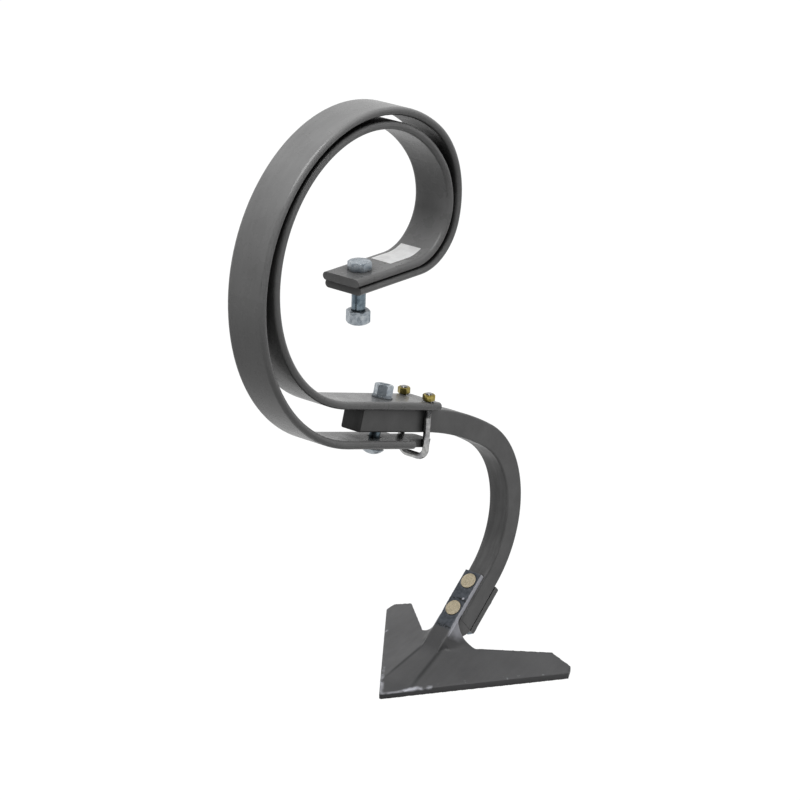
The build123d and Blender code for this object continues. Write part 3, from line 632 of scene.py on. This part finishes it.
# Pressed share: the plate with its edges and bends softened, as hot pressing leaves them. On each side a web
# draws the stem's edge out into the wing's back edge; lengths in millimetres, places on the +Y side. The
# smoothing grid is laid askew to the plate, so that no long edge runs almost along it and comes out in steps
shareSizes = dict(
    gridDepth=8, gridScale=0.99, gridAskew=(27, 19), smoothing=0.5, passes=12,
    rootAt=(193, 26, -606), rootCore=16, rootReach=38, rootPasses=70,
    webOnStem=(212, 15.3, -575.3), webOnWing=(205.3, 50, -620.8), corner=(160, 16.5, -620), cornerShare=0.95,
    downStem=(-0.764, 0, -0.645), inWing=(0, -1, 0.371), stemHandles=(20, 68), wingHandle=25,
    webRows=12, webSteps=28, webThick=(3.9, 0, -7.2))


def webSkin(side):
    # rows of curves from the stem's edge to the wing's: the web's rear edge first, and last the corner
    sizes = shareSizes
    start, end, corner = (Vector(sizes[k]) for k in ("webOnStem", "webOnWing", "corner"))
    downStem, inWing = Vector(sizes["downStem"]), Vector(sizes["inWing"])
    shortest, longest = sizes["stemHandles"]
    rows = []
    for i in range(sizes["webRows"] + 1):
        share = i / sizes["webRows"]
        first = start + downStem * (shortest + share * (longest - shortest))
        second = (end + inWing * sizes["wingHandle"]).lerp(end.lerp(corner, sizes["cornerShare"]), share)
        row = []
        for j in range(sizes["webSteps"] + 1):
            t = j / sizes["webSteps"]
            spot = (start * (1 - t) ** 3 + first * (3 * t * (1 - t) ** 2) + second * (3 * t * t * (1 - t))
                    + end * t ** 3)
            row.append(Vector((spot.x, spot.y * side, spot.z)) / 1000)
        rows.append(row)
    return rows


def addWeb(shape, side):
    # a closed shell: the skin, a copy of it one plate thickness under it, and a wall between them
    thick = Vector(shareSizes["webThick"]) / 1000
    upper = [[shape.verts.new(p) for p in row] for row in webSkin(side)]
    lower = [[shape.verts.new(v.co + thick) for v in row] for row in upper]
    made = []
    for skin, flip in ((upper, False), (lower, True)):
        for a, b in zip(skin, skin[1:]):
            for p, q, r, t in zip(a, a[1:], b[1:], b):
                made.append(shape.faces.new((t, r, q, p) if flip else (p, q, r, t)))
    for k in (0, -1):
        for p, q, r, t in zip(upper[k], upper[k][1:], lower[k][1:], lower[k]):
            made.append(shape.faces.new((p, q, r, t)))
    for k in (0, -1):
        for a, b, c, d in zip(upper, upper[1:], lower[1:], lower):
            made.append(shape.faces.new((a[k], b[k], c[k], d[k])))
    bmesh.ops.recalc_face_normals(shape, faces=made)


def soften(piece, passes, group=""):
    soft = piece.modifiers.new("soft", "SMOOTH")
    soft.factor = shareSizes["smoothing"]
    soft.iterations = passes
    soft.vertex_group = group


def pressedShare(finish):
    piece = newPiece("pressedShare", meshFrom(mergedCopy("sweep"), "pressedShare"))
    webs = bmesh.new()
    for side in (-1, 1):
        addWeb(webs, side)
    added = newPiece("webs", meshFrom(webs, "webs"))
    roll, tip = (math.radians(angle) for angle in shareSizes["gridAskew"])
    askew = Matrix.Rotation(roll, 4, "X") @ Matrix.Rotation(tip, 4, "Y")
    for part in (piece, added):
        part.data.transform(askew)
    joined = piece.modifiers.new("joined", "BOOLEAN")
    joined.operation = "UNION"
    joined.solver = "EXACT"
    joined.object = added
    grid = piece.modifiers.new("grid", "REMESH")
    grid.mode = "SHARP"
    grid.octree_depth = shareSizes["gridDepth"]
    grid.scale = shareSizes["gridScale"]
    grid.use_remove_disconnected = False
    soften(piece, shareSizes["passes"])
    applyModifiers(piece)
    bpy.data.objects.remove(added)
    piece.data.transform(askew.inverted())
    # the hot plate is drawn most round the stem's root, so it is softened more there
    root = piece.vertex_groups.new(name="root")
    middle = Vector(shareSizes["rootAt"]) / 1000
    reach, core = mm(shareSizes["rootReach"]), mm(shareSizes["rootCore"])
    for v in piece.data.vertices:
        gap = (Vector((v.co.x, abs(v.co.y), v.co.z)) - middle).length
        if gap < reach:
            root.add([v.index], min(1.0, (reach - gap) / (reach - core)), "REPLACE")
    soften(piece, shareSizes["rootPasses"], group="root")
    applyModifiers(piece)
    piece.vertex_groups.clear()
    piece.data.materials.clear()
    piece.data.materials.append(finish)
    piece.data.shade_smooth()
    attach(piece, "root")
    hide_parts("sweep")
    print("pressed share:", len(piece.data.polygons), "faces")


# Shank's toe: the bar's end is cut on the slant, so that its front reaches further down behind the share
toeSizes = dict(front=50, rear=3, narrower=0.985, intoBar=1)


def slantedToe(finish):
    shape = mergedCopy("shank")
    outOfFoot = direction(leanings["foot"])
    downFoot = Vector((-outOfFoot.z, 0, outOfFoot.x))
    lowest = max(v.co.dot(downFoot) for v in shape.verts)
    ring = [v.co.copy() for v in shape.verts if v.co.dot(downFoot) > lowest - mm(0.05)]
    shape.free()
    depths = [p.dot(outOfFoot) for p in ring]
    toe = bmesh.new()
    for p, depth in zip(ring, depths):
        forward = (depth - min(depths)) / (max(depths) - min(depths))
        p.y *= toeSizes["narrower"]
        toe.verts.new(p - downFoot * mm(toeSizes["intoBar"]))
        toe.verts.new(p + downFoot * mm(toeSizes["rear"] + (toeSizes["front"] - toeSizes["rear"]) * forward))
    hull = bmesh.ops.convex_hull(toe, input=toe.verts[:])
    bmesh.ops.delete(toe, geom=list({*hull["geom_interior"], *hull["geom_unused"]}), context="VERTS")
    mesh = meshFrom(toe, "slantedToe")
    mesh.materials.append(finish)
    mesh.shade_smooth()
    mesh.set_sharp_from_angle(angle=sharpAngle)
    piece = newPiece("slantedToe", mesh)
    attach(piece, "root")


threads = threadTree()
# the blue-zinc bolts' shanks take the zinc with painted shade
finishes = {"blue_zinc": (blueZinc, paintedShadeZinc), "bright_zinc": (brightZinc, brightZinc),
            "plow_zinc": (dullZinc, dullZinc)}
for name, plan in boltPlans.items():
    rolledBolt(name, plan, threads, *finishes[plan["slot"]])
print("bolts threaded")
pressedShare(shareEnamel())
slantedToe(nodes["shank"].data.materials[0])
print("toe set on the foot")


# the stage: half its width in metres, its paper, how bright it shows and mirrors, and the shadow that is left
stageSizes = dict(half=30.0, paper="#8a8a8a", glow=1.12, shadowShare=0.08, mirrored=0.8)


def paperFloor():
    z = cadBox[0].z
    half = stageSizes["half"]
    mesh = bpy.data.meshes.new("paperFloor")
    corners = [(-half, -half, z), (half, -half, z), (half, half, z), (-half, half, z)]
    mesh.from_pydata(corners, [], [(0, 1, 2, 3)])
    floor = newPiece("paperFloor", mesh)
    material = bpy.data.materials.new("whiteBackgroundPaper")
    tree = emptyTree(material)
    add = partial(addNode, tree)
    paper = add("ShaderNodeBsdfDiffuse", {"Color": linear(stageSizes["paper"])})
    glow = add("ShaderNodeEmission", {"Color": (1, 1, 1, 1), "Strength": stageSizes["glow"]})
    path = add("ShaderNodeLightPath", out=None).outputs
    mirrored = add("ShaderNodeMath", {0: path["Is Glossy Ray"], 1: stageSizes["mirrored"]},
                   operation="MULTIPLY")
    seen = add("ShaderNodeMath", {0: path["Is Camera Ray"], 1: mirrored}, operation="MAXIMUM")
    share = add("ShaderNodeMath", {0: seen, 1: 1 - stageSizes["shadowShare"]}, operation="MULTIPLY")
    both = add("ShaderNodeMixShader", {0: share, 1: paper, 2: glow})
    add("ShaderNodeOutputMaterial", {"Surface": both}, None)
    mesh.materials.append(material)


# the studio is dim on the camera's side and bright behind the object, where the white paper stands
skyLook = dict(near=0.11, far=0.72, towards=(0.70, 0.57, 0.43), dimTo=-0.3, brightFrom=0.8)


def studioSky():
    world = bpy.data.worlds.new("studioSky")
    bpy.context.scene.world = world
    tree = emptyTree(world)
    add = partial(addNode, tree)
    way = add("ShaderNodeTexCoord", out=0)
    along = add("ShaderNodeVectorMath", {0: way, 1: skyLook["towards"]}, 1, operation="DOT_PRODUCT")
    level = add("ShaderNodeMapRange", {"Value": along, "From Min": skyLook["dimTo"],
                                       "From Max": skyLook["brightFrom"], "To Min": skyLook["near"],
                                       "To Max": skyLook["far"]})
    plain = add("ShaderNodeBackground", {"Color": (1, 1, 1, 1), "Strength": level})
    white = add("ShaderNodeBackground", {"Color": (1, 1, 1, 1), "Strength": 1.0})
    seen = add("ShaderNodeLightPath", out=None).outputs["Is Camera Ray"]
    both = add("ShaderNodeMixShader", {0: seen, 1: plain, 2: white})
    add("ShaderNodeOutputWorld", {"Surface": both}, None)


# place and aim in metres, size across, power in watts
lampPlans = {
    "overheadLamp": dict(place=(-0.5, -0.2, 2.4), aim=(0.0, 0.0, -0.1), across=1.8, power=62),
    "sideLamp": dict(place=(-0.6, -2.8, 1.4), aim=(0.0, 0.0, -0.3), across=1.8, power=7),
}


def lamps():
    for name, plan in lampPlans.items():
        data = bpy.data.lights.new(name, "AREA")
        data.shape = "DISK"
        data.size = plan["across"]
        data.energy = plan["power"]
        lamp = bpy.data.objects.new(name, data)
        place, aim = Vector(plan["place"]), Vector(plan["aim"])
        lamp.location = place
        lamp.rotation_euler = (aim - place).to_track_quat("-Z", "Y").to_euler()
        bpy.context.scene.collection.objects.link(lamp)


# the photograph's viewpoint, from ahead and the near side, a little above; lengths in millimetres
cameraPlan = dict(target=(-8.38, -80.45, -147.21), azimuth=-50.7, elevation=22.0, distance=4768.0, lens=154.5,
                  sensor=36.0)


def photoCamera():
    azimuth, elevation = math.radians(cameraPlan["azimuth"]), math.radians(cameraPlan["elevation"])
    back = Vector((math.sin(azimuth) * math.cos(elevation), -math.cos(azimuth) * math.cos(elevation),
                   math.sin(elevation)))
    data = bpy.data.cameras.new("photoCamera")
    data.lens = cameraPlan["lens"]
    data.sensor_width = cameraPlan["sensor"]
    data.clip_end = 100.0
    camera = bpy.data.objects.new("photoCamera", data)
    camera.location = (Vector(cameraPlan["target"]) + back * cameraPlan["distance"]) / 1000
    camera.rotation_euler = back.to_track_quat("Z", "Y").to_euler()
    bpy.context.scene.collection.objects.link(camera)
    bpy.context.scene.camera = camera


paperFloor()
studioSky()
lamps()
photoCamera()
bpy.context.scene.view_settings.view_transform = "Standard"
print("stage, lamps and camera ready")
